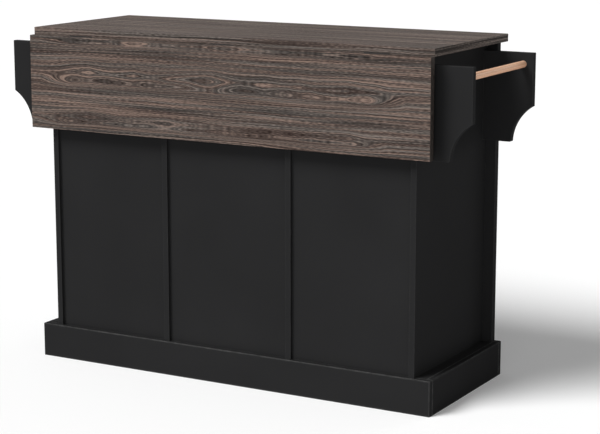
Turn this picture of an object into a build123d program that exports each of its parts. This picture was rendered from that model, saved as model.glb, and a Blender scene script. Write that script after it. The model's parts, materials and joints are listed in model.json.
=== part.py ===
from build123d import *
from math import atan2, degrees, hypot
import os

# Kitchen island with a drop leaf, a towel rack and a spice rack.
# Millimetres, +Z up. Doors and drawers face -Y, and the drop leaf hangs on the +Y side.
# The origin is the centre of the plinth's footprint, on the floor.
# Left and right are as seen from the front, so the towel rack is on the left end.

os.makedirs("parts", exist_ok=True)

# Carcass
board = 16.0
carcass_width = 1094.0
carcass_depth = 417.0
carcass_height = 802.0
centre_bay_width = 357.0
arris = 0.8

# Plinth and the ledge that it leaves round the carcass
plinth_height = 92.0
plinth_side_ledge = 46.0
plinth_rear_ledge = 6.0
plinth_front_ledge = 3.0
plinth_edge_radius = 2.5
corner_block_size = 40.0
corner_block_lift = 12.0

# Corner posts and rails
post_width = 60.0
post_thickness = 20.0
post_overhang = 28.0
front_rail_height = 30.0

# Back panels
back_panel_thickness = 5.0
back_recess = 8.5
groove_depth = 5.0
groove_clearance = 0.25

# Worktop and drop leaf
worktop_thickness = 20.0
worktop_side_overhang = 48.0
worktop_rear_overhang = 8.0
leaf_drop = 250.0
leaf_gap = 1.0
leaf_rise = 0.3

# Leaf hinges
hinge_clearance = 0.4
running_clearance = 0.05
leaf_hinge_length = 70.0
leaf_hinge_reach = 28.0
leaf_hinge_thickness = 1.5
leaf_hinge_barrel_radius = 2.0
leaf_hinge_spacing = 440.0

# Folding stays
stay_spacing = 363.0
stay_pivot_depth = 120.0
stay_pivot_offset = 10.0
stay_link_width = 10.0
stay_link_thickness = 2.0
stay_side_gap = 0.3
stay_pin_radius = 2.5
stay_head_radius = 4.0
stay_head_height = 1.2
stay_plate_width = 24.0
stay_plate_length = 40.0
stay_plate_thickness = 2.0
stay_ear_radius = 6.0

# Doors
door_gap = 2.0
door_thickness = 18.0
door_stile_width = 60.0
door_panel_thickness = 6.0
door_panel_seat = 8.0
door_panel_inset = 2.0
door_hinge_length = 50.0
door_hinge_reach = 18.0
door_hinge_thickness = 1.5
door_hinge_barrel_radius = 3.0
door_hinge_inset = 100.0
door_hinge_stand_off = 0.2

# Knobs
knob_radius = 15.0
knob_length = 26.0
knob_base_radius = 8.0
knob_neck_radius = 6.0
knob_neck_flare = 1.0
knob_neck_length = 11.0
knob_shoulder_length = 17.7
knob_bolt_radius = 2.4
knob_bolt_length = 11.0
knob_clearance = 0.1
knob_below_door_top = 240.0

# Shelves
shelf_setback = 16.0
shelf_height = 386.0
shelf_clearance = 1.0
shelf_pin_radius = 2.5
shelf_pin_seat = 10.0
shelf_pin_reach = 8.0
shelf_pin_inset = 45.0
shelf_step = 64.0

# Drawers
top_drawer_height = 200.0
drawer_rear_clearance = 36.0
drawer_side_thickness = 13.0
drawer_side_clearance = 1.5
drawer_box_lift = 12.0
drawer_box_headroom = 30.0
drawer_bottom_thickness = 4.0
drawer_bottom_lift = 8.0
drawer_frame_width = 40.0
drawer_frame_depth = 5.0
runner_height = 16.0
runner_reach = 7.0
runner_clearance = 0.4
runner_front_gap = 1.0
runner_rear_gap = 7.0

# Racks on the two ends
bracket_reach = 138.0
bracket_height = 233.0
bracket_straight = 137.0
bracket_foot = 80.0
bracket_curve_radius = 115.0
bracket_tip_radius = 4.0
bracket_corner_radius = 1.2
bracket_drop = 22.0
bracket_rear_setback = 15.0
bracket_front_setback = 9.0
bar_radius = 9.0
bar_inset = 28.0
bar_drop = 29.5
bar_socket_depth = 8.0
bar_end_gap = 0.2
spice_shelf_setback = 4.0
spice_rail_height = 49.0

# Levels and faces that follow from the sizes above
plinth_length = carcass_width + 2 * plinth_side_ledge
plinth_depth = plinth_front_ledge + post_thickness + carcass_depth + plinth_rear_ledge
plinth_x = plinth_length / 2
plinth_y = plinth_depth / 2
carcass_rear = plinth_y - plinth_rear_ledge
carcass_front = carcass_rear - carcass_depth
post_front = carcass_front - post_thickness
carcass_bottom = plinth_height
carcass_top = carcass_bottom + carcass_height
side_outer = carcass_width / 2
side_inner = side_outer - board
divider_inner = centre_bay_width / 2
divider_outer = divider_inner + board
post_outer = side_outer + post_overhang
post_inner = post_outer - post_width
rail_bottom = carcass_top - front_rail_height
back_rear = carcass_rear - back_recess
back_front = back_rear - back_panel_thickness
rear_rail_front = back_front - board
rear_rail_bottom = carcass_top - stay_pivot_depth - stay_plate_length / 2
worktop_x = side_outer + worktop_side_overhang
worktop_rear = carcass_rear + worktop_rear_overhang
leaf_hinge_y = worktop_rear + leaf_gap / 2
leaf_hinge_z = carcass_top
leaf_top = leaf_hinge_z + leaf_rise
ends = (("left", -1), ("right", 1))


def keep(piece, label):
    """Label a finished piece and write it to its file."""
    piece.part.label = label
    export_step(piece.part, f"parts/{label}.step")


def block(low, high, mode=Mode.ADD):
    """Add or cut a box between two opposite corners."""
    middle = [(a + b) / 2 for a, b in zip(low, high)]
    size = [abs(b - a) for a, b in zip(low, high)]
    with Locations(tuple(middle)):
        Box(*size, mode=mode)


def rod(start, end, radius, mode=Mode.ADD):
    """Add or cut a round rod between two points."""
    start, end = Vector(*start), Vector(*end)
    with Locations(Plane(origin=start, z_dir=end - start)):
        Cylinder(radius, (end - start).length, align=(Align.CENTER, Align.CENTER, Align.MIN), mode=mode)


def ease(edges, radius=arris):
    """Take the sharpness off some edges of the piece that is being made."""
    fillet(edges, radius=radius)


# Hinges. The axis is the plane's Z, and the plate lies along the plane's X, on its +Y side.
knuckle_count = 3


def knuckle_height(length):
    return (length - (knuckle_count - 1) * hinge_clearance) / knuckle_count


def hinge_half(length, reach, inner, thickness, barrel_radius, knuckles, with_pin):
    """One half of a butt hinge: its plate, its knuckles and the tongues between them."""
    height = knuckle_height(length)
    pin_radius = barrel_radius / 2
    clear = barrel_radius + hinge_clearance
    plate = (Align.MIN, Align.MIN, Align.CENTER)
    with Locations((clear, inner, 0)):
        Box(reach - clear, thickness, length, align=plate)
    for knuckle in knuckles:
        with Locations((0, 0, knuckle * (height + hinge_clearance))):
            Cylinder(barrel_radius, height)
            with Locations((0, inner, 0)):
                Box(clear, thickness, height, align=plate)
    if with_pin:
        Cylinder(pin_radius, length)
    else:
        Cylinder(pin_radius + running_clearance, length, mode=Mode.SUBTRACT)


def hinge_seat(planes, length, reach, inner, thickness, barrel_radius):
    """Cut the seat of a hinge: room for its barrel, and a shallow bed for its plate."""
    bed = (Align.MIN, Align.MIN, Align.CENTER)
    with Locations(*planes):
        Cylinder(barrel_radius + hinge_clearance, length + 2 * hinge_clearance, mode=Mode.SUBTRACT)
        Box(reach, inner + thickness, length + 2 * hinge_clearance, align=bed, mode=Mode.SUBTRACT)


fixed_knuckles = (-1, 1)
moving_knuckles = (0,)
leaf_hinge = (leaf_hinge_length, leaf_hinge_reach, 0, leaf_hinge_thickness, leaf_hinge_barrel_radius)
door_hinge = (door_hinge_length, door_hinge_reach, door_gap / 2, door_hinge_thickness,
              door_hinge_barrel_radius)

leaf_hinge_places = (-leaf_hinge_spacing, 0, leaf_hinge_spacing)
leaf_hinge_points = [(x, leaf_hinge_y, leaf_hinge_z) for x in leaf_hinge_places]
top_plate_planes = [Plane(origin=p, x_dir=(0, -1, 0), z_dir=(-1, 0, 0)) for p in leaf_hinge_points]
leaf_plate_planes = [Plane(origin=p, x_dir=(0, 0, -1), z_dir=(1, 0, 0)) for p in leaf_hinge_points]

# Plinth: front and rear boards run through, end boards and the centre rail stand between them.
plinth_inner_x = plinth_x - board
plinth_inner_y = plinth_y - board
bottom_underside = plinth_height - board

for name, side in (("front", -1), ("rear", 1)):
    with BuildPart() as plinth_board:
        block((-plinth_x, side * plinth_inner_y, 0), (plinth_x, side * plinth_y, plinth_height))
        outer = plinth_board.faces().sort_by(Axis.Y)[-1 if side > 0 else 0]
        uprights = outer.edges().filter_by(Axis.Z)
        top = outer.edges().sort_by(Axis.Z)[-1]
        caps = [face.edges().sort_by(Axis.Z)[-1] for face in plinth_board.faces().filter_by(Axis.X)]
        ease([*uprights, top, *caps], plinth_edge_radius)
    keep(plinth_board, f"plinth_{name}_board")

for name, side in ends:
    with BuildPart() as plinth_end:
        block((side * plinth_inner_x, -plinth_inner_y, 0), (side * plinth_x, plinth_inner_y, plinth_height))
        outer = plinth_end.faces().sort_by(Axis.X)[-1 if side > 0 else 0]
        ease([outer.edges().sort_by(Axis.Z)[-1]], plinth_edge_radius)
    keep(plinth_end, f"plinth_{name}_board")

with BuildPart() as plinth_centre_rail:
    block((-board / 2, -plinth_inner_y, 0), (board / 2, plinth_inner_y, bottom_underside))
keep(plinth_centre_rail, "plinth_centre_rail")

with BuildPart() as plinth_corner_blocks:
    for x in (-1, 1):
        for y in (-1, 1):
            inner = (x * (plinth_inner_x - corner_block_size), y * (plinth_inner_y - corner_block_size))
            block((*inner, corner_block_lift), (x * plinth_inner_x, y * plinth_inner_y, bottom_underside))
keep(plinth_corner_blocks, "plinth_corner_blocks")

with BuildPart() as bottom_panel:
    block((-plinth_inner_x, -plinth_inner_y, bottom_underside),
          (plinth_inner_x, plinth_inner_y, plinth_height))
keep(bottom_panel, "bottom_panel")

# Rows of holes for the shelf pins, one row near the front and one near the rear
shelf_bottom = carcass_bottom + shelf_height
shelf_front = carcass_front + shelf_setback
shelf_rear = back_front - shelf_clearance
pin_level = shelf_bottom - shelf_pin_radius
pin_rows = (shelf_front + shelf_pin_inset, shelf_rear - shelf_pin_inset)
pin_levels = [pin_level + step * shelf_step for step in (-1, 0, 1)]


def pin_holes(face_x, into):
    """Drill the two rows of blind pin holes into a board's face."""
    for y in pin_rows:
        for z in pin_levels:
            rod((face_x, y, z), (face_x + into * shelf_pin_seat, y, z),
                shelf_pin_radius + running_clearance, Mode.SUBTRACT)


def back_groove(face_x, into):
    """Cut the upright groove that holds the edge of a back panel."""
    block((face_x, back_front - groove_clearance, carcass_bottom),
          (face_x + into * groove_depth, back_rear + groove_clearance, carcass_top), Mode.SUBTRACT)


for name, side in ends:
    with BuildPart() as side_panel:
        block((side * side_inner, carcass_front, carcass_bottom),
              (side * side_outer, carcass_rear, carcass_top))
        rear = side_panel.faces().sort_by(Axis.Y)[-1]
        ease(rear.edges().filter_by(Axis.Z))
        back_groove(side * side_inner, side)
        pin_holes(side * side_inner, side)
    keep(side_panel, f"{name}_side_panel")

for name, side in ends:
    with BuildPart() as divider:
        block((side * divider_inner, post_front, carcass_bottom),
              (side * divider_outer, carcass_rear, carcass_top))
        uprights = [divider.faces().sort_by(Axis.Y)[end].edges().filter_by(Axis.Z) for end in (0, -1)]
        ease([*uprights[0], *uprights[1]])
        block((side * divider_inner, post_front, rail_bottom),
              (side * divider_outer, carcass_front, carcass_top), Mode.SUBTRACT)
        block((side * divider_inner, rear_rail_front, rear_rail_bottom),
              (side * divider_outer, back_front, carcass_top), Mode.SUBTRACT)
        back_groove(side * divider_inner, side)
        back_groove(side * divider_outer, -side)
        pin_holes(side * divider_outer, -side)
    keep(divider, f"{name}_divider")

bay_reach = groove_depth - groove_clearance
back_spans = {
    "left": (-side_inner - bay_reach, -divider_outer + bay_reach),
    "centre": (-divider_inner - bay_reach, divider_inner + bay_reach),
    "right": (divider_outer - bay_reach, side_inner + bay_reach),
}
for name, (start, end) in back_spans.items():
    with BuildPart() as back_panel:
        block((start, back_front, carcass_bottom), (end, back_rear, carcass_top))
    keep(back_panel, f"{name}_back_panel")

with BuildPart() as rear_top_rail:
    block((-side_inner, rear_rail_front, rear_rail_bottom), (side_inner, back_front, carcass_top))
keep(rear_top_rail, "rear_top_rail")

with BuildPart() as front_top_rail:
    block((-post_inner, post_front, rail_bottom), (post_inner, carcass_front, carcass_top))
    ease([front_top_rail.faces().sort_by(Axis.Y)[0].edges().sort_by(Axis.Z)[0]])
keep(front_top_rail, "front_top_rail")

# Corner posts, with seats for the door hinges in their inner edges
door_bottom = carcass_bottom + door_gap
door_top = rail_bottom - door_gap
door_front = post_front
door_rear = door_front + door_thickness
door_hinge_y = door_front - door_hinge_barrel_radius - door_hinge_stand_off
door_hinge_levels = (door_bottom + door_hinge_inset, door_top - door_hinge_inset)


def door_hinge_planes(side, on_post):
    """Planes of one door's hinges, with the plate's side towards the post or towards the door."""
    turn = -side if on_post else side
    x = side * (post_inner - door_gap / 2)
    points = [(x, door_hinge_y, z) for z in door_hinge_levels]
    return [Plane(origin=point, x_dir=(0, 1, 0), z_dir=(0, 0, turn)) for point in points]


for name, side in ends:
    with BuildPart() as corner_post:
        block((side * post_inner, post_front, carcass_bottom),
              (side * post_outer, carcass_front, carcass_top))
        ease(corner_post.edges().filter_by(Axis.Z))
        hinge_seat(door_hinge_planes(side, True), *door_hinge)
    keep(corner_post, f"{name}_corner_post")

with BuildPart(*door_hinge_planes(-1, True), *door_hinge_planes(1, True)) as door_hinge_plates:
    hinge_half(*door_hinge, fixed_knuckles, with_pin=True)
keep(door_hinge_plates, "door_hinge_plates")

# Worktop and drop leaf. The hanging leaf stands a little above the worktop's underside, so that no
# light shows between them, and the raised leaf still clears the worktop's edge.
with BuildPart() as worktop:
    block((-worktop_x, post_front, carcass_top),
          (worktop_x, worktop_rear, carcass_top + worktop_thickness))
    ease(worktop.edges())
    hinge_seat(top_plate_planes, *leaf_hinge)
keep(worktop, "worktop")

with BuildPart() as drop_leaf:
    block((-worktop_x, leaf_hinge_y, leaf_top - leaf_drop),
          (worktop_x, leaf_hinge_y + worktop_thickness, leaf_top))
    ease(drop_leaf.edges())
    hinge_seat(leaf_plate_planes, *leaf_hinge)
keep(drop_leaf, "drop_leaf")

with BuildPart(*top_plate_planes) as leaf_hinge_top_plates:
    hinge_half(*leaf_hinge, fixed_knuckles, with_pin=True)
keep(leaf_hinge_top_plates, "leaf_hinge_top_plates")

with BuildPart(*leaf_plate_planes) as leaf_hinge_leaf_plates:
    hinge_half(*leaf_hinge, moving_knuckles, with_pin=False)
keep(leaf_hinge_leaf_plates, "leaf_hinge_leaf_plates")

# Folding stays. The leaf and wall pivots share one line while the leaf hangs, and the two links
# fold flat side by side. With the leaf up they make one straight strut, which gives their length.
stay_link_length = hypot(stay_pivot_depth + stay_pivot_offset, stay_pivot_depth - stay_pivot_offset) / 2
strut_rise = degrees(atan2(stay_pivot_depth - stay_pivot_offset, stay_pivot_depth + stay_pivot_offset))
stay_y = leaf_hinge_y - stay_pivot_offset
stay_z = leaf_hinge_z - stay_pivot_depth
leaf_ear_start = 0.0
upper_link_start = leaf_ear_start + stay_plate_thickness + stay_side_gap
lower_link_start = upper_link_start + stay_link_thickness + stay_side_gap
wall_ear_start = lower_link_start + stay_link_thickness + stay_side_gap
wall_ear_end = wall_ear_start + stay_plate_thickness


def stay_plane(side, start):
    """A plane across a stay's pivot: X runs towards the leaf, Y up, and Z away from the centre."""
    origin = (side * (stay_spacing + start), stay_y, stay_z)
    return Plane(origin=origin, x_dir=(0, side, 0), z_dir=(side, 0, 0))


def stay_link(side, start, head_start):
    """A flat link with an eye at its upper end and a rivet head at its lower end."""
    plane = stay_plane(side, start)
    with BuildSketch(plane) as outline:
        with Locations((0, -stay_link_length / 2)):
            SlotCenterToCenter(stay_link_length, stay_link_width, rotation=90)
        Circle(stay_pin_radius + running_clearance, mode=Mode.SUBTRACT)
    extrude(outline.sketch, amount=stay_link_thickness)
    with BuildSketch(stay_plane(side, head_start)) as head:
        with Locations((0, -stay_link_length)):
            Circle(stay_head_radius)
    extrude(head.sketch, amount=stay_head_height)


def stay_bracket(side, start, spread, seat_y, pin):
    """A plate with one ear and the pin that its link turns on.

    The plate spreads from its ear away from the centre (1) or towards it (-1), and its outer face
    lies on what carries it, at seat_y. The pin runs between two places beside the pivot's links.
    """
    reach = seat_y - stay_y
    inward = -stay_plate_thickness if reach > 0 else stay_plate_thickness
    ear_x = start if spread > 0 else start + stay_plate_thickness
    far_x = ear_x + spread * stay_plate_width
    with BuildSketch(stay_plane(side, start)) as ear:
        Circle(stay_ear_radius)
        with Locations((side * reach / 2, 0)):
            Rectangle(abs(reach), 2 * stay_ear_radius)
    extrude(ear.sketch, amount=stay_plate_thickness)
    block((side * (stay_spacing + ear_x), seat_y, stay_z - stay_plate_length / 2),
          (side * (stay_spacing + far_x), seat_y + inward, stay_z + stay_plate_length / 2))
    pin_ends = [(side * (stay_spacing + place), stay_y, stay_z) for place in pin]
    rod(*pin_ends, stay_pin_radius)


with BuildPart() as stay_leaf_brackets:
    for name, side in ends:
        pin = (leaf_ear_start, upper_link_start + stay_link_thickness)
        stay_bracket(side, leaf_ear_start, -1, leaf_hinge_y, pin)
keep(stay_leaf_brackets, "stay_leaf_brackets")

with BuildPart() as stay_wall_brackets:
    for name, side in ends:
        stay_bracket(side, wall_ear_start, 1, back_rear, (lower_link_start, wall_ear_end))
keep(stay_wall_brackets, "stay_wall_brackets")

for name, side in ends:
    with BuildPart() as upper_link:
        stay_link(side, upper_link_start, upper_link_start - stay_head_height)
    keep(upper_link, f"{name}_stay_upper_link")
    with BuildPart() as lower_link:
        stay_link(side, lower_link_start, lower_link_start + stay_link_thickness)
    keep(lower_link, f"{name}_stay_lower_link")

# Shelves and the pins that carry them
for name, side in ends:
    with BuildPart() as shelf:
        block((side * (divider_outer + shelf_clearance), shelf_front, shelf_bottom),
              (side * (side_inner - shelf_clearance), shelf_rear, shelf_bottom + board))
        front = shelf.faces().sort_by(Axis.Y)[0]
        ease(front.edges().filter_by(Axis.X))
    keep(shelf, f"{name}_shelf")

with BuildPart() as shelf_pins:
    for name, side in ends:
        for face_x, into in ((side * side_inner, side), (side * divider_outer, -side)):
            seat_x = face_x + into * shelf_pin_seat
            tip_x = face_x - into * shelf_pin_reach
            for y in pin_rows:
                rod((seat_x, y, pin_level), (tip_x, y, pin_level), shelf_pin_radius)
keep(shelf_pins, "shelf_pins")


def knob(x, y, z):
    """A turned knob on a front face, with its bolt in the wood behind."""
    plane = Plane(origin=(x, y, z), x_dir=(0, -1, 0), z_dir=(1, 0, 0))
    neck = (knob_neck_length, knob_neck_radius + knob_neck_flare)
    shoulder = (knob_shoulder_length, knob_radius)
    with BuildSketch(plane) as profile:
        with BuildLine():
            Polyline((knob_length, 0), (-knob_bolt_length, 0), (-knob_bolt_length, knob_bolt_radius),
                     (0, knob_bolt_radius), (0, knob_base_radius))
            ThreePointArc((0, knob_base_radius), (knob_neck_length / 2, knob_neck_radius), neck)
            Line(neck, shoulder)
            Spline(shoulder, (knob_length, 0), tangents=((1, 0), (0, -1)))
        make_face()
    revolve(profile.sketch, axis=Axis((x, y, z), (0, -1, 0)))


def knob_hole(x, y, z):
    """The hole for a knob's bolt."""
    rod((x, y, z), (x, y + knob_bolt_length, z), knob_bolt_radius + knob_clearance, Mode.SUBTRACT)


# Doors: a framed door with a thin panel let into the back of the frame
panel_seat_y = door_rear - door_panel_inset - door_panel_thickness
knob_level = door_top - knob_below_door_top

for name, side in ends:
    x_free = side * (divider_outer + door_gap)
    x_hinge = side * (post_inner - door_gap)
    x_knob = x_free + side * door_stile_width / 2
    opening_x = (x_free + side * door_stile_width, x_hinge - side * door_stile_width)
    opening_z = (door_bottom + door_stile_width, door_top - door_stile_width)
    panel_x = (opening_x[0] - side * door_panel_seat, opening_x[1] + side * door_panel_seat)
    panel_z = (opening_z[0] - door_panel_seat, opening_z[1] + door_panel_seat)

    with BuildPart() as door_frame:
        block((x_free, door_front, door_bottom), (x_hinge, door_rear, door_top))
        front = door_frame.faces().sort_by(Axis.Y)[0]
        ease(front.edges())
        block((opening_x[0], door_front, opening_z[0]),
              (opening_x[1], door_rear, opening_z[1]), Mode.SUBTRACT)
        block((panel_x[0], panel_seat_y, panel_z[0]), (panel_x[1], door_rear, panel_z[1]), Mode.SUBTRACT)
        knob_hole(x_knob, door_front, knob_level)
        hinge_seat(door_hinge_planes(side, False), *door_hinge)
    keep(door_frame, f"{name}_door_frame")

    with BuildPart() as door_panel:
        block((panel_x[0], panel_seat_y, panel_z[0]),
              (panel_x[1], panel_seat_y + door_panel_thickness, panel_z[1]))
    keep(door_panel, f"{name}_door_panel")

    with BuildPart(*door_hinge_planes(side, False)) as door_hinge_leaves:
        hinge_half(*door_hinge, moving_knuckles, with_pin=False)
    keep(door_hinge_leaves, f"{name}_door_hinge_leaves")

    with BuildPart() as door_knob:
        knob(x_knob, door_front, knob_level)
    keep(door_knob, f"{name}_door_knob")

# Drawers: each box hangs by a groove in its sides on a pair of wooden runners
drawer_x = divider_inner - door_gap
box_outer = divider_inner - drawer_side_clearance
box_inner = box_outer - drawer_side_thickness
box_rear = rear_rail_front - drawer_rear_clearance
lower_drawer_height = (door_top - door_bottom - top_drawer_height - 2 * door_gap) / 2
middle_drawer_bottom = door_bottom + lower_drawer_height + door_gap
drawer_fronts = {
    "top": (door_top - top_drawer_height, door_top),
    "middle": (middle_drawer_bottom, middle_drawer_bottom + lower_drawer_height),
    "bottom": (door_bottom, door_bottom + lower_drawer_height),
}
groove_reach = runner_reach - drawer_side_clearance + runner_clearance
groove_height = runner_height + 2 * runner_clearance
bottom_reach = groove_depth - groove_clearance


def runner_level(low, high):
    """The middle height of a drawer's runners, which is the middle of its box."""
    return (low + drawer_box_lift + high - drawer_box_headroom) / 2


for name, (low, high) in drawer_fronts.items():
    box_low = low + drawer_box_lift
    box_high = high - drawer_box_headroom
    floor_z = box_low + drawer_bottom_lift
    level = runner_level(low, high)
    middle = (low + high) / 2

    with BuildPart() as drawer_front:
        block((-drawer_x, door_front, low), (drawer_x, door_rear, high))
        front = drawer_front.faces().sort_by(Axis.Y)[0]
        ease(front.edges())
        block((-drawer_x + drawer_frame_width, door_front, low + drawer_frame_width),
              (drawer_x - drawer_frame_width, door_front + drawer_frame_depth, high - drawer_frame_width),
              Mode.SUBTRACT)
        knob_hole(0, door_front + drawer_frame_depth, middle)
    keep(drawer_front, f"{name}_drawer_front")

    with BuildPart() as drawer_box:
        block((-box_outer, door_rear, box_low), (box_outer, box_rear, box_high))
        block((-box_inner, door_rear, box_low), (box_inner, box_rear - drawer_side_thickness, box_high),
              Mode.SUBTRACT)
        block((-box_inner - groove_depth, door_rear, floor_z - groove_clearance),
              (box_inner + groove_depth, box_rear - drawer_side_thickness + groove_depth,
               floor_z + drawer_bottom_thickness + groove_clearance), Mode.SUBTRACT)
        for side in (-1, 1):
            block((side * (box_outer - groove_reach), door_rear, level - groove_height / 2),
                  (side * box_outer, box_rear, level + groove_height / 2), Mode.SUBTRACT)
    keep(drawer_box, f"{name}_drawer_box")

    with BuildPart() as drawer_bottom:
        block((-box_inner - bottom_reach, door_rear, floor_z),
              (box_inner + bottom_reach, box_rear - drawer_side_thickness + bottom_reach,
               floor_z + drawer_bottom_thickness))
    keep(drawer_bottom, f"{name}_drawer_bottom")

    with BuildPart() as drawer_knob:
        knob(0, door_front + drawer_frame_depth, middle)
    keep(drawer_knob, f"{name}_drawer_knob")

runner_front = door_rear + runner_front_gap
runner_rear = rear_rail_front - runner_rear_gap
with BuildPart() as drawer_runners:
    for low, high in drawer_fronts.values():
        level = runner_level(low, high)
        for side in (-1, 1):
            block((side * (divider_inner - runner_reach), runner_front, level - runner_height / 2),
                  (side * divider_inner, runner_rear, level + runner_height / 2))
keep(drawer_runners, "drawer_runners")

# Racks: two curved brackets on each end, with a towel bar on the left and a shelf with a rail on the right
bracket_top = carcass_top - bracket_drop
bracket_rear_y = carcass_rear - bracket_rear_setback - board / 2
bracket_front_y = carcass_front + bracket_front_setback + board / 2
rack_front_face = bracket_front_y + board / 2
rack_rear_face = bracket_rear_y - board / 2
spice_shelf_bottom = bracket_top - bracket_straight
spice_shelf_top = spice_shelf_bottom + board
towel_bar_at = (-(side_outer + bracket_reach - bar_inset), bracket_top - bar_drop)
spice_rail_at = (side_outer + bracket_reach - bar_inset, spice_shelf_top + spice_rail_height)


def bracket(side, y):
    """A curved bracket board, upright and square to the end of the carcass."""
    plane = Plane(origin=(side * side_outer, y, bracket_top), x_dir=(side, 0, 0), z_dir=(0, -side, 0))
    shoulder = (bracket_reach, -bracket_straight)
    tip = (bracket_foot, -bracket_height)
    with BuildSketch(plane) as outline:
        with BuildLine():
            Polyline(tip, (0, -bracket_height), (0, 0), (bracket_reach, 0), shoulder)
            RadiusArc(shoulder, tip, -bracket_curve_radius)
        make_face()
        fillet(outline.vertices().group_by(Axis.X)[-1], radius=bracket_corner_radius)
        fillet(outline.vertices().group_by(Axis.Y)[0].sort_by(Axis.X)[-1], radius=bracket_tip_radius)
    extrude(outline.sketch, amount=board / 2, both=True)


def socket(bar_at, y, into):
    """A blind round socket for the end of a bar."""
    x, z = bar_at
    rod((x, y, z), (x, y + into * bar_socket_depth, z), bar_radius + running_clearance, Mode.SUBTRACT)


for rack, side, bar_at in (("towel_rack", -1, towel_bar_at), ("spice_rack", 1, spice_rail_at)):
    for place, y, face, into in (("rear", bracket_rear_y, rack_rear_face, 1),
                                 ("front", bracket_front_y, rack_front_face, -1)):
        with BuildPart() as rack_bracket:
            bracket(side, y)
            outlines = rack_bracket.faces().filter_by(Axis.Y).edges()
            ease([edge for edge in outlines if abs(edge.center().X) > side_outer + arris])
            socket(bar_at, face, into)
        keep(rack_bracket, f"{rack}_{place}_bracket")

bar_reach = bar_socket_depth - bar_end_gap
for label, (x, z) in (("towel_bar", towel_bar_at), ("spice_rail", spice_rail_at)):
    with BuildPart() as bar:
        rod((x, rack_front_face - bar_reach, z), (x, rack_rear_face + bar_reach, z), bar_radius)
    keep(bar, label)

with BuildPart() as spice_shelf:
    block((side_outer, rack_front_face, spice_shelf_bottom),
          (side_outer + bracket_reach - spice_shelf_setback, rack_rear_face, spice_shelf_top))
    front = spice_shelf.faces().sort_by(Axis.X)[-1]
    ease(front.edges().filter_by(Axis.Y))
keep(spice_shelf, "spice_shelf")

# How far the stay's links turn for each degree of the leaf, and where the moving parts turn
print("upper link turns", round(-(180 - strut_rise) / 90, 6), "of the leaf, against the leaf")
print("lower link turns", round((90 + strut_rise) / 90, 6), "of the leaf, against the carcass")
print("leaf axis", (0, leaf_hinge_y, leaf_hinge_z), "stay pivots", (stay_y, stay_z))
print("door axis", (post_inner - door_gap / 2, door_hinge_y), "link length", round(stay_link_length, 3))
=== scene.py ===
# %% [markdown]
# # A kitchen island with a drop leaf
#
# The island is black painted board with a dark laminate top. A leaf of the same laminate hangs
# behind it, and each end carries a rack on two curved brackets. Its pieces are already modelled at
# their real size and stand in one fixed frame, in metres, with the doors towards -Y. This lesson
# gives them their finishes, adds the small screws and sets up a plain studio.

# %% Load the fixed frame
import json
import math

import bpy
from mathutils import Matrix, Vector


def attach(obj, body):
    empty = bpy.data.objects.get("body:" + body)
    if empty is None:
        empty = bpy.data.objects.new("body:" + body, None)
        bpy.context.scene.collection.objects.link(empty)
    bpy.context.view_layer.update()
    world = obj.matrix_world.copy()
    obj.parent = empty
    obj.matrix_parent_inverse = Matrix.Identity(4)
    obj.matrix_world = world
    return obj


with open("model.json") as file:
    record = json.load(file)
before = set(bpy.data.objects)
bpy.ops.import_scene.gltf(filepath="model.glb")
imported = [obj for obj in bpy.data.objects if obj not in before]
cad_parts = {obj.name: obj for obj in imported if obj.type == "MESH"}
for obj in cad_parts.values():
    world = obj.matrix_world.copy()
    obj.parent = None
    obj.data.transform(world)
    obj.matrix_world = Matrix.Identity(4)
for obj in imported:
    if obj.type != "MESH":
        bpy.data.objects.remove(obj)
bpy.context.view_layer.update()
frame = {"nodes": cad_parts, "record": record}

bpy.ops.object.select_all(action="DESELECT")
print("pieces in the frame:", len(frame["nodes"]))

# %% [markdown]
# ## The camera
#
# The picture is taken from behind, on the towel rack's side, with a long lens from nearly five
# metres. A camera can be turned by three angles, but it is easier to read as two points: where it
# stands and what it looks at. A long lens far away keeps the lines of the top nearly parallel.

# %% Place the camera
CAMERA_PLACE = Vector((-2.400, 4.084, 1.342))
CAMERA_AIM = Vector((-0.1610, 0.1081, 0.4446))
LENS_MM = 107.4
SENSOR_MM = 36.0
FARTHEST_SEEN = 60.0

camera_data = bpy.data.cameras.new("camera")
camera_data.lens = LENS_MM
camera_data.sensor_width = SENSOR_MM
camera_data.clip_end = FARTHEST_SEEN
camera = bpy.data.objects.new("camera", camera_data)
bpy.context.collection.objects.link(camera)
camera.location = CAMERA_PLACE
camera.rotation_euler = (CAMERA_AIM - CAMERA_PLACE).to_track_quat("-Z", "Y").to_euler()
bpy.context.scene.camera = camera
print("camera to aim, metres:", round((CAMERA_AIM - CAMERA_PLACE).length, 3))

# %% [markdown]
# ## Colours and nodes in a few words
#
# Colours are given as the 0 to 255 values that a paint chart shows, and are turned into the linear
# values that light is worked out with. Every finish below is a small network of shader nodes.
# Adding a node, setting its fields and joining its inputs are three steps that repeat, so one
# helper does all three, and the others name the few kinds of node that are used most.

# %% Helpers for colours
def linear(value):
    """One 0 to 255 screen value as linear light."""
    share = value / 255
    return share / 12.92 if share <= 0.04045 else ((share + 0.055) / 1.055) ** 2.4


def colour(red, green, blue):
    """A screen colour as the linear colour that a socket takes."""
    return (linear(red), linear(green), linear(blue), 1.0)


def white(share):
    """A share of white, already in linear light."""
    return (share, share, share, 1.0)


print("mid grey 128 is", round(linear(128), 3), "in linear light")

# %% Helpers for nodes
def node(tree, kind, inputs=None, **fields):
    """Add a node, set its fields, and fill or join its inputs by name or number."""
    made = tree.nodes.new(kind)
    for field, value in fields.items():
        setattr(made, field, value)
    for key, value in (inputs or {}).items():
        if isinstance(value, bpy.types.NodeSocket):
            tree.links.new(value, made.inputs[key])
        else:
            made.inputs[key].default_value = value
    return made


def maths(tree, operation, *values):
    """One Math node on one to three values, as the socket of its result."""
    return node(tree, "ShaderNodeMath", dict(enumerate(values)), operation=operation).outputs[0]


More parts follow.
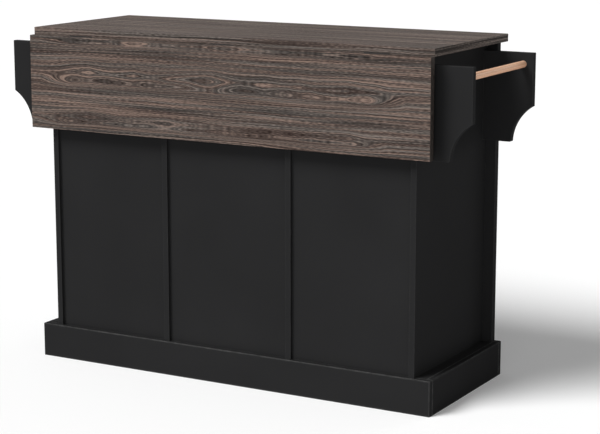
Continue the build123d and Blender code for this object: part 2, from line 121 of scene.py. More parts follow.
def blend(tree, factor, first, second):
    """Mix two colours by a factor, as the socket of the result."""
    return node(tree, "ShaderNodeMix", {0: factor, 6: first, 7: second}, data_type="RGBA").outputs[2]


def spread(tree, value, low, high, to_low=0.0, to_high=1.0):
    """Stretch a value's range low to high over another range, and stop at its ends."""
    inputs = {"Value": value, 1: low, 2: high, 3: to_low, 4: to_high}
    return node(tree, "ShaderNodeMapRange", inputs, clamp=True).outputs[0]


def ramp(tree, value, stops):
    """A colour ramp through (place, colour) stops."""
    made = node(tree, "ShaderNodeValToRGB", {"Fac": value})
    elements = made.color_ramp.elements
    while len(elements) < len(stops):
        elements.new(1.0)
    for element, (place, tint) in zip(elements, stops):
        element.position = place
        element.color = tint
    return made.outputs["Color"]


print("node helpers ready")

# %% [markdown]
# ## The studio
#
# The island stands on a white floor that runs out of sight. One large soft lamp high behind the
# viewer's left shoulder throws the shadow away to the right. A weak one low behind the viewer opens
# up the corners, and another low on the far side lets the doors be read. A sun lamp gives the same
# light everywhere, and its angle sets how soft the shadow's edge is.

# %% Light the studio
LAMPS = {
    "key_lamp": {"towards": (0.50, 0.81, 1.0), "strength": 3.10, "degrees": 28},
    "low_lamp": {"towards": (-0.35, 1.0, 0.05), "strength": 0.90, "degrees": 30},
    "front_lamp": {"towards": (-0.35, -1.0, 0.05), "strength": 0.90, "degrees": 24},
}
LAMP_DISTANCE = 5

for name, settings in LAMPS.items():
    lamp_data = bpy.data.lights.new(name, "SUN")
    lamp_data.energy = settings["strength"]
    lamp_data.angle = math.radians(settings["degrees"])
    lamp = bpy.data.objects.new(name, lamp_data)
    bpy.context.collection.objects.link(lamp)
    towards = Vector(settings["towards"])
    lamp.location = towards.normalized() * LAMP_DISTANCE
    lamp.rotation_euler = towards.to_track_quat("Z", "Y").to_euler()
print("lamps:", {name: settings["strength"] for name, settings in LAMPS.items()})

# %% [markdown]
# A dim white sky fills the rest. It is dim for what it lights and white for what looks at it, so
# the light stays plain and the background white.

# %% Make the sky
FILL_STRENGTH = 0.185

world = bpy.data.worlds.new("studio")
world.use_nodes = True
world.node_tree.nodes.clear()
bpy.context.scene.world = world


def seen_directly(tree):
    """1 for rays from the camera and for reflected or refracted ones, 0 for the rest."""
    path = node(tree, "ShaderNodeLightPath")
    sharp = maths(tree, "MAXIMUM", path.outputs["Is Glossy Ray"], path.outputs["Is Transmission Ray"])
    return maths(tree, "MAXIMUM", path.outputs["Is Camera Ray"], sharp)


sky = world.node_tree
fill = maths(sky, "MULTIPLY_ADD", seen_directly(sky), 1 - FILL_STRENGTH, FILL_STRENGTH)
background = node(sky, "ShaderNodeBackground", {"Color": white(1.0), "Strength": fill})
node(sky, "ShaderNodeOutputWorld", {"Surface": background.outputs[0]})

bpy.context.scene.view_settings.view_transform = "Standard"
print("sky strength on what it lights:", FILL_STRENGTH)

# %% Lay the floor
FLOOR_SIZE = 60.0
FLOOR_SEEN = 0.96
FLOOR_BOUNCE = 0.93
FLOOR_GLOW = 0.12

bpy.ops.mesh.primitive_plane_add(size=FLOOR_SIZE, location=(0, 0, 0))
floor = bpy.context.object
floor.name = "floor"
floor_finish = bpy.data.materials.new("white floor")
floor_finish.use_nodes = True
tree = floor_finish.node_tree
tree.nodes.clear()
looked_at = node(tree, "ShaderNodeLightPath").outputs["Is Camera Ray"]
shade = blend(tree, looked_at, white(FLOOR_BOUNCE), white(FLOOR_SEEN))
diffuse = node(tree, "ShaderNodeBsdfDiffuse", {"Color": shade})
glow = node(tree, "ShaderNodeEmission", {"Strength": maths(tree, "MULTIPLY", looked_at, FLOOR_GLOW)})
both = node(tree, "ShaderNodeAddShader", {0: diffuse.outputs[0], 1: glow.outputs[0]})
node(tree, "ShaderNodeOutputMaterial", {"Surface": both.outputs[0]})
floor.data.materials.append(floor_finish)
bpy.ops.object.select_all(action="DESELECT")
print("floor laid:", FLOOR_SIZE, "m square")

# %% [markdown]
# ## Effects that several finishes share
#
# Edges of painted and plated things are touched most, so they wear. On the black paint, and most of
# all on the plinth, the paler edge colour is also a painted highlight for the light that rounded
# edges catch. The Bevel node gives the normal that a softly rounded edge would have, and where that
# differs from the true normal there is an edge. A node group holds the effect, so each finish can
# set its own width.

# %% Start a group
FLOAT = "NodeSocketFloat"
VECTOR = "NodeSocketVector"


def new_group(name, takes, gives):
    """A shader group that takes (name, socket kind, value) and gives (name, socket kind)."""
    group = bpy.data.node_groups.new(name, "ShaderNodeTree")
    for label, kind, value in takes:
        socket = group.interface.new_socket(name=label, in_out="INPUT", socket_type=kind)
        if value is not None:
            socket.default_value = value
    for label, kind in gives:
        group.interface.new_socket(name=label, in_out="OUTPUT", socket_type=kind)
    return group, node(group, "NodeGroupInput").outputs, node(group, "NodeGroupOutput").inputs


print("group helper ready")

# %% Group: edge wear and highlight
EDGE_STARTS = 0.995
EDGE_FULL = 0.80
BREAKS_LOW = 0.35
BREAKS_HIGH = 0.70
LEAST_WEAR_AND_HIGHLIGHT = 0.35

edge_group, takes, gives = new_group(
    "edge wear and highlight",
    [("Vector", VECTOR, None), ("Radius", FLOAT, 0.002), ("Breaks", FLOAT, 60.0)],
    [("Mask", FLOAT)],
)
rounded = node(edge_group, "ShaderNodeBevel", {"Radius": takes["Radius"]}, samples=4)
true_normal = node(edge_group, "ShaderNodeNewGeometry").outputs["Normal"]
likeness = node(edge_group, "ShaderNodeVectorMath", {0: rounded.outputs[0], 1: true_normal},
                operation="DOT_PRODUCT").outputs["Value"]
edge = spread(edge_group, likeness, EDGE_STARTS, EDGE_FULL)
breaks = node(edge_group, "ShaderNodeTexNoise",
              {"Vector": takes["Vector"], "Scale": takes["Breaks"], "Detail": 3.0}).outputs["Fac"]
wear_and_highlight = spread(edge_group, breaks, BREAKS_LOW, BREAKS_HIGH, LEAST_WEAR_AND_HIGHLIGHT, 1.0)
edge_group.links.new(maths(edge_group, "MULTIPLY", edge, wear_and_highlight), gives["Mask"])
print("group made:", edge_group.name)

# %% [markdown]
# Sprayed or rolled paint, printed foil and plating are never perfectly even. A second group gives
# a broad cloudiness for the colour and a fine stipple for the relief.

# %% Group: uneven coat
COAT_DETAIL = {"Cloud": 4.0, "Stipple": 2.0}

coat_group, takes, gives = new_group(
    "uneven coat",
    [("Vector", VECTOR, None), ("Cloud Scale", FLOAT, 4.0), ("Stipple Scale", FLOAT, 700.0)],
    [("Cloud", FLOAT), ("Stipple", FLOAT)],
)
for label, detail in COAT_DETAIL.items():
    noise = node(coat_group, "ShaderNodeTexNoise",
                 {"Vector": takes["Vector"], "Scale": takes[label + " Scale"], "Detail": detail})
    coat_group.links.new(noise.outputs["Fac"], gives[label])
print("group made:", coat_group.name)

# %% [markdown]
# ## Wood grain
#
# A board cut along a trunk shows its yearly layers as long lines. Bands and rings from a Wave
# texture look like a zebra, so here the lines follow a distance across the board. Where a cut
# grazes the layers, the lines on both sides of a row mirror each other, as if the distance were
# folded there, and every hollow in the row closes them into rings, which makes a pointed eye. One
# group makes the hollow of an eye, and the other folds the distance along a row of them.

# %% Group: grain eye
TIP_POWER = 1.5
TAIL_SHARE = 0.55


def joined(tree, x, y, z):
    """Three values as one vector."""
    return node(tree, "ShaderNodeCombineXYZ", {0: x, 1: y, 2: z}).outputs[0]


def over(tree, value, size):
    """A value measured in steps of a size."""
    return maths(tree, "DIVIDE", value, size)


def bell(tree, value):
    """A smooth hill of height 1 at nought."""
    return maths(tree, "EXPONENT", maths(tree, "MULTIPLY", value, -1.0))


eye_group, takes, gives = new_group(
    "grain eye",
    [("Along", FLOAT, 0.0), ("Middle", FLOAT, 0.0), ("Half Length", FLOAT, 0.05),
     ("Depth", FLOAT, 0.01), ("Rise", FLOAT, 0.0)],
    [("Rise", FLOAT)],
)
from_middle = maths(eye_group, "SUBTRACT", takes["Along"], takes["Middle"])
steps = over(eye_group, from_middle, takes["Half Length"])
tail_steps = maths(eye_group, "MULTIPLY", steps, TAIL_SHARE)
lopsided = maths(eye_group, "MAXIMUM", tail_steps, maths(eye_group, "MULTIPLY", steps, -1.0))
hollow = bell(eye_group, maths(eye_group, "POWER", lopsided, TIP_POWER))
hollow = maths(eye_group, "MULTIPLY", hollow, takes["Depth"])
eye_group.links.new(maths(eye_group, "SUBTRACT", takes["Rise"], hollow), gives["Rise"])
print("group made:", eye_group.name)

# %% Group: grain fold
SEAM_WIDTH = 0.0025
FADE_POWER = 4.0

fold_group, takes, gives = new_group(
    "grain fold",
    [("Across", FLOAT, 0.0), ("Distance", FLOAT, 0.0), ("Row", FLOAT, 0.0),
     ("Half Height", FLOAT, 0.03), ("Rise", FLOAT, 0.0), ("Share", FLOAT, 1.0)],
    [("Distance", FLOAT)],
)
from_row = maths(fold_group, "SUBTRACT", takes["Across"], takes["Row"])
steps = maths(fold_group, "ABSOLUTE", over(fold_group, from_row, takes["Half Height"]))
near = bell(fold_group, maths(fold_group, "POWER", steps, FADE_POWER))
within = maths(fold_group, "MULTIPLY", near, takes["Share"])
squared = maths(fold_group, "MULTIPLY_ADD", from_row, from_row, SEAM_WIDTH ** 2)
folded = maths(fold_group, "POWER", squared, 0.5)
change = maths(fold_group, "ADD", maths(fold_group, "SUBTRACT", folded, from_row), takes["Rise"])
change = maths(fold_group, "MULTIPLY", change, within)
fold_group.links.new(maths(fold_group, "ADD", takes["Distance"], change), gives["Distance"])
print("group made:", fold_group.name)

# %% [markdown]
# A third group draws the lines. Noise that is stretched along the grain and squeezed across it
# gives streaks. Broad bands, lines, fine lines and short pores are the same noise at four sizes,
# because real wood has detail at every size, and each finish mixes them in its own way. Two more
# streaks say where the print is paler and where it is tinted with rust.

# %% Group: wood streaks
STREAKS = {
    "Bands": {"run": 1.40, "width": 0.0150, "detail": 1.0, "layer": 0.0},
    "Lines": {"run": 0.80, "width": 0.0050, "detail": 1.0, "layer": 7.0},
    "Fine": {"run": 0.30, "width": 0.0022, "detail": 0.5, "layer": 13.0},
    "Pores": {"run": 0.012, "width": 0.0014, "detail": 0.0, "layer": 19.0},
    "Pale": {"run": 1.10, "width": 0.0036, "detail": 0.0, "layer": 23.0},
    "Tint": {"run": 0.45, "width": 0.0070, "detail": 0.0, "layer": 29.0},
}

streak_group, takes, gives = new_group(
    "wood streaks",
    [("Along", FLOAT, 0.0), ("Distance", FLOAT, 0.0), ("Size", FLOAT, 1.0)],
    [(label, FLOAT) for label in STREAKS],
)
for label, kind in STREAKS.items():
    along = over(streak_group, over(streak_group, takes["Along"], kind["run"]), takes["Size"])
    across = over(streak_group, over(streak_group, takes["Distance"], kind["width"]), takes["Size"])
    streak = node(streak_group, "ShaderNodeTexNoise",
                  {"Vector": joined(streak_group, along, across, kind["layer"]), "Scale": 1.0,
                   "Detail": kind["detail"], "Roughness": 0.5}, noise_dimensions="3D")
    streak_group.links.new(streak.outputs["Fac"], gives[label])
print("group made:", streak_group.name, "with", ", ".join(STREAKS))

# %% [markdown]
# ## Starting a finish
#
# Each finish begins with the same three nodes: the surface, the output and the coordinates. They
# are object coordinates, so a pattern is measured in metres and moves with its piece. A Noise
# texture keeps mostly to the middle of its range, so patterns are read between a low and a high
# value there.

# %% Start a finish
NOISE_LOW = 0.30
NOISE_MIDDLE = 0.50
NOISE_HIGH = 0.70


def new_finish(name):
    """A material with a Principled BSDF, and the coordinates that its pattern reads."""
    material = bpy.data.materials.new(name)
    material.use_nodes = True
    made = material.node_tree
    made.nodes.clear()
    surface = node(made, "ShaderNodeBsdfPrincipled")
    node(made, "ShaderNodeOutputMaterial", {"Surface": surface.outputs[0]})
    return material, made, surface, node(made, "ShaderNodeTexCoord").outputs


def place_group(tree, group, inputs):
    """Place a group in a material and fill its inputs."""
    return node(tree, "ShaderNodeGroup", inputs, node_tree=group).outputs


def relief(tree, surface, height, distance, strength):
    """Give a surface its bumps from a height."""
    bump = node(tree, "ShaderNodeBump", {"Height": height, "Distance": distance, "Strength": strength})
    tree.links.new(bump.outputs[0], surface.inputs["Normal"])


print("finish helpers ready")

# %% [markdown]
# ## Matt black paint
#
# The boards are painted a flat black with a very low sheen. Pure black would lose the shape, so
# the colour is a dark grey. A slight cloudiness, lighter edges and the stipple that a roller leaves
# keep it from looking like plastic. The lighter edges are partly wear and partly a painted
# highlight for the light that the rounded board edges catch. The plinth's edges are rounded more,
# and its pale edges are wider and paler still. They are a painted highlight for the light along
# its rounded top edges, and the band is laid along every edge of the plinth.

# %% A black coat
CLOUD_DARK = 0.96
CLOUD_LIGHT = 1.03
ROUGHNESS_DRIFT = 0.03
STIPPLE_STRENGTH = 0.5


def black_coat(name, base, wear_and_highlight, edge_radius, roughness, specular, stipple_scale, stipple_depth):
    """A black coat with clouds, paler edges and a fine stipple; the edges are wear, and on the paint
    also painted highlight.
    """
    material, tree, surface, place = new_finish(name)
    coat = place_group(tree, coat_group, {"Vector": place["Object"], "Stipple Scale": stipple_scale})
    edges = place_group(tree, edge_group, {"Vector": place["Object"], "Radius": edge_radius})
    clouded = ramp(tree, coat["Cloud"], [
        (NOISE_LOW, colour(*[value * CLOUD_DARK for value in base])),
        (NOISE_HIGH, colour(*[value * CLOUD_LIGHT for value in base]))])
    tree.links.new(blend(tree, edges["Mask"], clouded, colour(*wear_and_highlight)), surface.inputs["Base Color"])
    rough = spread(tree, coat["Cloud"], NOISE_LOW, NOISE_HIGH,
                   roughness - ROUGHNESS_DRIFT, roughness + ROUGHNESS_DRIFT)
    tree.links.new(rough, surface.inputs["Roughness"])
    surface.inputs["Specular IOR Level"].default_value = specular
    relief(tree, surface, coat["Stipple"], stipple_depth, STIPPLE_STRENGTH)
    return material


print("black coat ready")

# %% Finish: matt black paint
BLACK = (38, 38, 38.5)
ROLLED = {"roughness": 0.70, "specular": 0.004, "stipple_scale": 900.0, "stipple_depth": 0.00004}

# The pale edge colour (62, 62, 62) is partly wear and partly a painted highlight for the light that
# the rounded board edges catch.
black_paint = black_coat("matt black paint", BLACK, (62, 62, 62), 0.0032, **ROLLED)
# The plinth's pale edge colour (100, 100, 99) on a wide band is a painted highlight for the light
# along its rounded top edges.
plinth_paint_with_highlight = black_coat("matt black paint, plinth, painted highlight", BLACK, (100, 100, 99), 0.0060, **ROLLED)
black_hardboard = black_coat("black faced hardboard", BLACK, (46, 46, 46), 0.0016, roughness=0.74,
                             specular=0.004, stipple_scale=1500.0, stipple_depth=0.00002)
black_lining = black_coat("black drawer foil", (44, 44, 45), (54, 54, 54), 0.0016, roughness=0.50,
                          specular=0.10, stipple_scale=500.0, stipple_depth=0.00004)
print("finishes made:", black_paint.name, "and its three relatives")

# %% [markdown]
# ## Wood finishes
#
# All the woods are mixed from the streaks in the same way: each kind of streak pushes the tone up
# or down by its share, and a ramp turns the tone into a colour. A slow wander keeps the lines from
# being ruler straight.

# %% Mix the streaks of a wood
PORE_DEPTH = 0.00006
PORE_STRENGTH = 0.4
WAVER_LAYER = 3.0
WAVER_DETAIL = 1.5


def grain_place(tree, place, turn, centre=(0, 0, 0)):
    """Along and across the grain, for the axes named in turn: along, across and into the board."""
    centred = node(tree, "ShaderNodeMapping", {"Vector": place["Object"],
                                               "Location": [-value for value in centre]})
    axes = node(tree, "ShaderNodeSeparateXYZ", {0: centred.outputs[0]}).outputs
    across = maths(tree, "ADD", axes[turn[1]], axes[turn[2]])
    return axes[turn[0]], across


def waver(tree, along, across, height, length, width):
    """The slow wander of grain lines, as a distance to add."""
    spot = joined(tree, over(tree, along, length), over(tree, across, width), WAVER_LAYER)
    drift = node(tree, "ShaderNodeTexNoise", {"Vector": spot, "Scale": 1.0, "Detail": WAVER_DETAIL})
    return maths(tree, "MULTIPLY", maths(tree, "SUBTRACT", drift.outputs["Fac"], NOISE_MIDDLE), height)


def mixed(tree, streaks, shares):
    """A tone round one half from the streaks, each with its share."""
    tone = NOISE_MIDDLE
    for label, share in shares.items():
        part = maths(tree, "MULTIPLY", maths(tree, "SUBTRACT", streaks[label], NOISE_MIDDLE), share)
        tone = maths(tree, "ADD", part, tone)
    return tone


def tones(reach, dark, middle, light):
    """Three screen colours as ramp stops: the middle tone, and a reach to both sides of it."""
    return [(NOISE_MIDDLE - reach, colour(*dark)), (NOISE_MIDDLE, colour(*middle)),
            (NOISE_MIDDLE + reach, colour(*light))]


print("streak mixing ready")

# %% [markdown]
# ## Dark laminate
#
# The top and the leaf are faced with a printed laminate: grey-brown wood with long fine lines,
# paler streaks, a few rust coloured bands and pointed eyes. The leaf shows the livelier cut, with
# three rows of eyes. A row is given by its height, half its height, its two ends and its eyes, and
# an eye by its middle, half its length and its depth.

# %% Lay out the rows of eyes
ROW_FADE = 0.10
RIPPLE = (0.004, 0.10, 0.03)
BEND_ALONG = (0.020, 0.05, 0.012)
BEND_ACROSS = (0.010, 0.12, 0.04)
LEAF_ROWS = [
    (0.801, 0.034, -0.53, 0.56, [(0.405, 0.050, 0.012), (0.262, 0.040, 0.008), (0.030, 0.070, 0.019),
                                 (-0.135, 0.045, 0.008), (-0.235, 0.035, 0.007),
                                 (-0.365, 0.055, 0.012), (-0.450, 0.028, 0.005)]),
    (0.684, 0.022, -0.48, 0.58, [(0.400, 0.050, 0.009), (0.165, 0.050, 0.010), (0.050, 0.035, 0.005),
                                 (-0.371, 0.045, 0.007)]),
    (0.887, 0.010, -0.50, 0.56, [(0.480, 0.050, 0.003), (0.255, 0.050, 0.005), (-0.010, 0.040, 0.004),
                                 (-0.413, 0.045, 0.004)]),
]


def row_share(tree, along, low, high):
    """1 along a row from low to high, and fading out before both ends."""
    return maths(tree, "MULTIPLY", spread(tree, along, low, low + ROW_FADE),
                 spread(tree, along, high, high - ROW_FADE))


def eyed_distance(tree, along, across, rows, wander):
    """The distance that grain lines follow: wandering, rippled, and folded along each row."""
    distance = maths(tree, "ADD", across, waver(tree, along, across, *wander))
    distance = maths(tree, "ADD", distance, waver(tree, along, across, *RIPPLE))
    bent_along = maths(tree, "ADD", along, waver(tree, along, across, *BEND_ALONG))
    bent_across = maths(tree, "ADD", across, waver(tree, along, across, *BEND_ACROSS))
    for row, half_height, low, high, eyes in rows:
        rise = 0.0
        for middle, half_length, depth in eyes:
            rise = place_group(tree, eye_group, {
                "Along": bent_along, "Middle": middle, "Half Length": half_length,
                "Depth": depth, "Rise": rise})["Rise"]
        distance = place_group(tree, fold_group, {
            "Across": bent_across, "Distance": distance, "Row": row, "Half Height": half_height,
            "Rise": rise, "Share": row_share(tree, along, low, high)})["Distance"]
    return distance


print("eyes in each row of the leaf:", [len(row[-1]) for row in LEAF_ROWS])

# %% [markdown]
# The ends of the boards are covered with a band of the same print that runs along the edge, so
# there the grain is turned. The surface's own normal says which side is an end. Pale streaks
# lift the tone, and the rust colour comes in bands, which are weaker on the ends.

# %% A printed laminate
LAMINATE_GLOSS = 0.008
LAMINATE_ROUGHNESS = (0.66, 0.56)
END_STARTS = 0.68
END_FULL = 0.72
PALE_LOW = 0.58
PALE_HIGH = 0.70
PALE_SHARE = 0.20
RUST_LOW = 0.40
RUST_HIGH = 0.62
RUST_ON_ENDS = 0.3


def laminate(name, turn, centre, rows, wander, shares, greys, rusts, end_shade):
    """Printed wood laminate with its rows of grain eyes and its end bands."""
    material, tree, surface, place = new_finish(name)
    along, across = grain_place(tree, place, turn, centre)
    distance = eyed_distance(tree, along, across, rows, wander)
    band_along, band_across = grain_place(tree, place, turn[1:] + turn[:1])
    facing = node(tree, "ShaderNodeSeparateXYZ", {0: place["Normal"]}).outputs
    on_end = spread(tree, maths(tree, "ABSOLUTE", facing["X"]), END_STARTS, END_FULL)
    along = node(tree, "ShaderNodeMix", {0: on_end, 2: along, 3: band_along}).outputs[0]
    distance = node(tree, "ShaderNodeMix", {0: on_end, 2: distance, 3: band_across}).outputs[0]
    streaks = place_group(tree, streak_group, {"Along": along, "Distance": distance})
    pale = spread(tree, streaks["Pale"], PALE_LOW, PALE_HIGH, 0.0, PALE_SHARE)
    tone = maths(tree, "ADD", mixed(tree, streaks, shares), pale)
    tone = maths(tree, "SUBTRACT", tone, maths(tree, "MULTIPLY", on_end, end_shade))
    rusty = spread(tree, maths(tree, "ADD", streaks["Tint"], pale), RUST_LOW, RUST_HIGH)
    rusty = maths(tree, "MULTIPLY", rusty, spread(tree, on_end, 0.0, 1.0, 1.0, RUST_ON_ENDS))
    wood = blend(tree, rusty, ramp(tree, tone, greys), ramp(tree, tone, rusts))
    tree.links.new(wood, surface.inputs["Base Color"])
    tree.links.new(spread(tree, streaks["Fine"], NOISE_LOW, NOISE_HIGH, *LAMINATE_ROUGHNESS),
                   surface.inputs["Roughness"])
    surface.inputs["Specular IOR Level"].default_value = LAMINATE_GLOSS
    relief(tree, surface, streaks["Pores"], PORE_DEPTH, PORE_STRENGTH)
    return material


print("laminate ready")

# %% Finish: dark laminate
PRINT_REACH = 0.35
LEAF_FACE = (0.0, 0.2455, 0.0)
LEAF_WANDER = (0.020, 0.5, 0.07)
LEAF_GREYS = tones(PRINT_REACH, (42, 39, 37), (73, 68, 65), (115, 106, 100))
LEAF_RUSTS = tones(PRINT_REACH, (46, 37, 34), (79, 68, 63), (128, 109, 99))
LEAF_SHARES = {"Bands": 0.45, "Lines": 0.66, "Fine": 1.10, "Pores": 0.80}
TOP_FACE = (0.0, 0.0, 0.914)
TOP_WANDER = (0.020, 0.6, 0.10)
TOP_GREYS = tones(PRINT_REACH, (46, 43, 41), (80, 74, 70), (120, 112, 107))
TOP_RUSTS = tones(PRINT_REACH, (50, 42, 39), (86, 75, 70), (130, 115, 107))
TOP_SHARES = {"Bands": 0.80, "Lines": 1.05, "Fine": 1.20, "Pores": 0.80}

leaf_laminate = laminate("dark laminate, leaf", "XZY", LEAF_FACE, LEAF_ROWS, LEAF_WANDER,
                         LEAF_SHARES, LEAF_GREYS, LEAF_RUSTS, end_shade=0.20)
top_laminate = laminate("dark laminate, top", "XYZ", TOP_FACE, [], TOP_WANDER,
                        TOP_SHARES, TOP_GREYS, TOP_RUSTS, end_shade=0.10)
print("finishes made:", leaf_laminate.name, "and", top_laminate.name)

# %% [markdown]
# ## Pale wood
#
# The towel bar, the spice rail and the knobs are turned from a pale hardwood and oiled. Its grain
# is close and quiet, with short darker flecks. The runners and blocks inside are bare softwood,
# which is yellower and has wider lines.

# %% Finish: pale woods
PLAIN_REACH = 0.20
PLAIN_WANDER = (0.006, 0.3, 0.03)
FLECKS_LOW = 0.60
FLECKS_HIGH = 0.70
WOOD_DRIFT = 0.05


def plain_wood(name, turn, size, shares, stops, fleck, fleck_share, roughness, gloss):
    """Unprinted wood, with the axes named in turn as along, across and into the piece."""
    material, tree, surface, place = new_finish(name)
    along, across = grain_place(tree, place, turn)
    distance = maths(tree, "ADD", across, waver(tree, along, across, *PLAIN_WANDER))
    streaks = place_group(tree, streak_group, {"Along": along, "Distance": distance, "Size": size})
    wood = ramp(tree, mixed(tree, streaks, shares), stops)
    flecks = spread(tree, streaks["Pores"], FLECKS_LOW, FLECKS_HIGH, 0.0, fleck_share)
    tree.links.new(blend(tree, flecks, wood, fleck), surface.inputs["Base Color"])
    rough = spread(tree, streaks["Lines"], NOISE_LOW, NOISE_HIGH,
                   roughness + WOOD_DRIFT, roughness - WOOD_DRIFT)
    tree.links.new(rough, surface.inputs["Roughness"])
    surface.inputs["Specular IOR Level"].default_value = gloss
    relief(tree, surface, streaks["Pores"], PORE_DEPTH, PORE_STRENGTH)
    return material


oiled_wood = plain_wood("oiled pale wood", "YXZ", size=0.6,
                        shares={"Bands": 0.7, "Lines": 0.8, "Fine": 0.5},
                        stops=tones(PLAIN_REACH, (212, 162, 130), (227, 180, 148), (236, 196, 166)),
                        fleck=colour(178, 132, 100), fleck_share=0.5, roughness=0.55, gloss=0.10)
bare_wood = plain_wood("bare softwood", "YXZ", size=1.0,
                       shares={"Bands": 1.0, "Lines": 1.0, "Fine": 0.5},
                       stops=tones(PLAIN_REACH, (176, 138, 92), (205, 170, 124), (220, 190, 146)),
                       fleck=colour(150, 112, 74), fleck_share=0.4, roughness=0.70, gloss=0.15)
print("finishes made:", oiled_wood.name, "and", bare_wood.name)

# %% [markdown]
# ## Metal fittings
#
# Hinges, stays and screws are pressed steel with a baked black coat, smoother and a little
# glossier than the paint, and rubbed paler along the edges. Only the shelf pins are bright zinc.
# Zinc is a metal, so its colour is its reflection, faintly cloudy and marked by rolling.

# %% Finish: black steel
black_steel = black_coat("black coated steel", (32, 32, 33), (60, 60, 61), 0.0016, roughness=0.42,
                         specular=0.10, stipple_scale=1800.0, stipple_depth=0.00002)
print("finish made:", black_steel.name)

# %% Finish: bright zinc
ZINC_TONES = [(0.35, colour(176, 178, 184)), (0.65, colour(206, 206, 204))]
ZINC_WORN = colour(232, 232, 230)
ZINC_ROUGHNESS = (0.42, 0.26)
ROLLING_DEPTH = 0.00002

zinc, tree, surface, place = new_finish("bright zinc")
coat = place_group(tree, coat_group, {"Vector": place["Object"], "Cloud Scale": 90.0,
                                      "Stipple Scale": 1400.0})
edges = place_group(tree, edge_group, {"Vector": place["Object"], "Radius": 0.0008, "Breaks": 400.0})
plated = blend(tree, edges["Mask"], ramp(tree, coat["Cloud"], ZINC_TONES), ZINC_WORN)
tree.links.new(plated, surface.inputs["Base Color"])
tree.links.new(spread(tree, coat["Cloud"], NOISE_LOW, NOISE_HIGH, *ZINC_ROUGHNESS),
               surface.inputs["Roughness"])
surface.inputs["Metallic"].default_value = 1.0
relief(tree, surface, coat["Stipple"], ROLLING_DEPTH, STIPPLE_STRENGTH)
print("finish made:", zinc.name)

# %% [markdown]
# ## Give each piece its finish
#
# The record that comes with the frame says which finish each piece takes, so the pieces are
# dressed from it. The top and the leaf share a slot and show different cuts of the print, and the
# plinth has its own kind of the black paint, whose pale edges are a painted highlight.

# %% Dress the pieces
FINISHES = {"painted": black_paint, "hardboard": black_hardboard, "drawer_lining": black_lining,
            "laminate": top_laminate, "beech": oiled_wood, "black_steel": black_steel, "zinc": zinc,
            "raw_wood": bare_wood}


def dress(piece, material):
    """Give a piece one material in place of any that it has."""
    piece.data.materials.clear()
    piece.data.materials.append(material)


for subpart in frame["record"]["subparts"]:
    dress(frame["nodes"][subpart["node"]], FINISHES[subpart["material_slot"]])
dress(frame["nodes"]["drop_leaf"], leaf_laminate)
# The plinth boards take the black paint whose pale edges are a painted highlight.
for side in ("front", "rear", "left", "right"):
    dress(frame["nodes"]["plinth_" + side + "_board"], plinth_paint_with_highlight)

# %% [markdown]
# ## Screws
#
# Each hinge and stay is held by small screws with a low domed head and a cross recess. One head is
# made from a short cylinder: its top is drawn in twice to a dome, and a cross is cut out of it. It
# is then copied to its places on each plate, and the copies of one set become one piece that moves
# with what they are screwed to.

# %% Model one screw head
SCREW_RADIUS = 0.0029
SCREW_RISE = 0.0005
SCREW_SINK = 0.0005
HEAD_SIDES = 20
DOME_STEPS = [(0.6, 0.93), (0.4, 0.75)]
FACES_UP = 0.9


def only(piece):
    """Select one object alone and make it the active one."""
    bpy.ops.object.select_all(action="DESELECT")
    piece.select_set(True)
    bpy.context.view_layer.objects.active = piece


def pick_faces(piece, wanted):
    """In edit mode, select just the faces for which a test on the face is true."""
    bpy.ops.mesh.select_mode(type="FACE")
    bpy.ops.mesh.select_all(action="DESELECT")
    bpy.ops.object.mode_set(mode="OBJECT")
    for face in piece.data.polygons:
        face.select = wanted(face)
    bpy.ops.object.mode_set(mode="EDIT")


bpy.ops.object.select_all(action="DESELECT")
bpy.ops.mesh.primitive_cylinder_add(vertices=HEAD_SIDES, radius=SCREW_RADIUS, depth=SCREW_SINK,
                                    location=(0, 0, -SCREW_SINK / 2))
screw = bpy.context.object
screw.name = "screw_head"
bpy.ops.object.transform_apply(location=True, rotation=True, scale=True)
bpy.ops.object.mode_set(mode="EDIT")
pick_faces(screw, lambda face: face.normal.z > FACES_UP)
for rise, width in DOME_STEPS:
    bpy.ops.mesh.extrude_region_move(TRANSFORM_OT_translate={"value": (0, 0, SCREW_RISE * rise)})
    bpy.ops.transform.resize(value=(width, width, 1))
bpy.ops.object.mode_set(mode="OBJECT")
print("screw head faces before its recess:", len(screw.data.polygons))

# %% Cut the cross recess
CROSS_ARM = 0.0006
CROSS_REACH = 0.0011
FACES_SIDEWAYS = 0.1

bpy.ops.object.select_all(action="DESELECT")
bpy.ops.mesh.primitive_cube_add(size=CROSS_ARM, location=(0, 0, SCREW_RISE))
cross = bpy.context.object
bpy.ops.object.transform_apply(location=True, rotation=True, scale=True)
bpy.ops.object.mode_set(mode="EDIT")
pick_faces(cross, lambda face: abs(face.normal.z) < FACES_SIDEWAYS)
bpy.ops.mesh.extrude_faces_move(TRANSFORM_OT_shrink_fatten={"value": CROSS_REACH})
bpy.ops.object.mode_set(mode="OBJECT")
print("cross width in mm:", round(cross.dimensions.x * 1000, 2))

only(screw)
recess = screw.modifiers.new("recess", "BOOLEAN")
recess.operation = "DIFFERENCE"
recess.object = cross
bpy.ops.object.modifier_apply(modifier="recess")
bpy.data.objects.remove(cross, do_unlink=True)
print("screw head faces:", len(screw.data.polygons))

# %% Copy the screw to its places
TURN_STEP = math.radians(37)


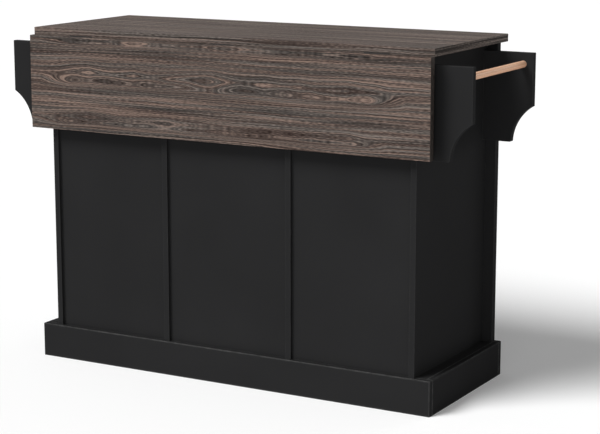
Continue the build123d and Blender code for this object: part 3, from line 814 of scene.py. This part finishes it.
def set_screws(name, body, facing, places):
    """Copy the screw head to its places, all facing one way, as one piece."""
    tilt = Vector((0, 0, 1)).rotation_difference(Vector(facing)).to_matrix().to_4x4()
    copies = []
    for number, spot in enumerate(places):
        copy = screw.copy()
        copy.data = screw.data.copy()
        bpy.context.collection.objects.link(copy)
        turn = Matrix.Rotation(number * TURN_STEP, 4, "Z")
        copy.data.transform(Matrix.Translation(spot) @ tilt @ turn)
        copies.append(copy)
    only(copies[0])
    for copy in copies:
        copy.select_set(True)
    bpy.ops.object.join()
    piece = bpy.context.object
    piece.name = name
    piece.data.name = name
    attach(piece, body)
    dress(piece, FINISHES["black_steel"])
    print(name, "set:", len(places))


print("screws can be set")

# %% Set the leaf hinges' screws
LEAF_HINGES_X = (-0.440, 0.0, 0.440)
LEAF_SCREW_STEP = 0.024
TOP_PLATE_YZ = (0.2135, 0.894)
LEAF_PLATE_YZ = (0.2255, 0.878)

hinge_x = [x + step * LEAF_SCREW_STEP for x in LEAF_HINGES_X for step in (-1, 0, 1)]
set_screws("leaf_hinge_top_screws", "carcass", (0, 0, -1), [(x, *TOP_PLATE_YZ) for x in hinge_x])
set_screws("leaf_hinge_leaf_screws", "leaf", (0, -1, 0), [(x, *LEAF_PLATE_YZ) for x in hinge_x])

# %% Set the door hinges' screws
DOOR_HINGES_Z = (0.194, 0.762)
DOOR_SCREW_STEP = 0.015
DOOR_SCREW_Y = -0.211
POST_FACE_X = 0.515
DOOR_FACE_X = 0.513

heights = [z + step * DOOR_SCREW_STEP for z in DOOR_HINGES_Z for step in (-1, 1)]
for name, side in (("left", -1), ("right", 1)):
    set_screws(name + "_post_screws", "carcass", (-side, 0, 0),
               [(side * POST_FACE_X, DOOR_SCREW_Y, z) for z in heights])
    set_screws(name + "_door_screws", name + "_door", (side, 0, 0),
               [(side * DOOR_FACE_X, DOOR_SCREW_Y, z) for z in heights])

# %% Set the stays' screws
STAY_SCREWS_Z = (0.761, 0.787)
WALL_BRACKET_XY = (0.3805, 0.2105)
LEAF_BRACKET_XY = (0.3545, 0.2235)


def both_sides(x, y):
    """The screws' places on the brackets at both sides of the middle."""
    return [(side * x, y, z) for side in (-1, 1) for z in STAY_SCREWS_Z]


set_screws("stay_wall_screws", "carcass", (0, 1, 0), both_sides(*WALL_BRACKET_XY))
set_screws("stay_leaf_screws", "leaf", (0, -1, 0), both_sides(*LEAF_BRACKET_XY))
bpy.data.objects.remove(screw, do_unlink=True)
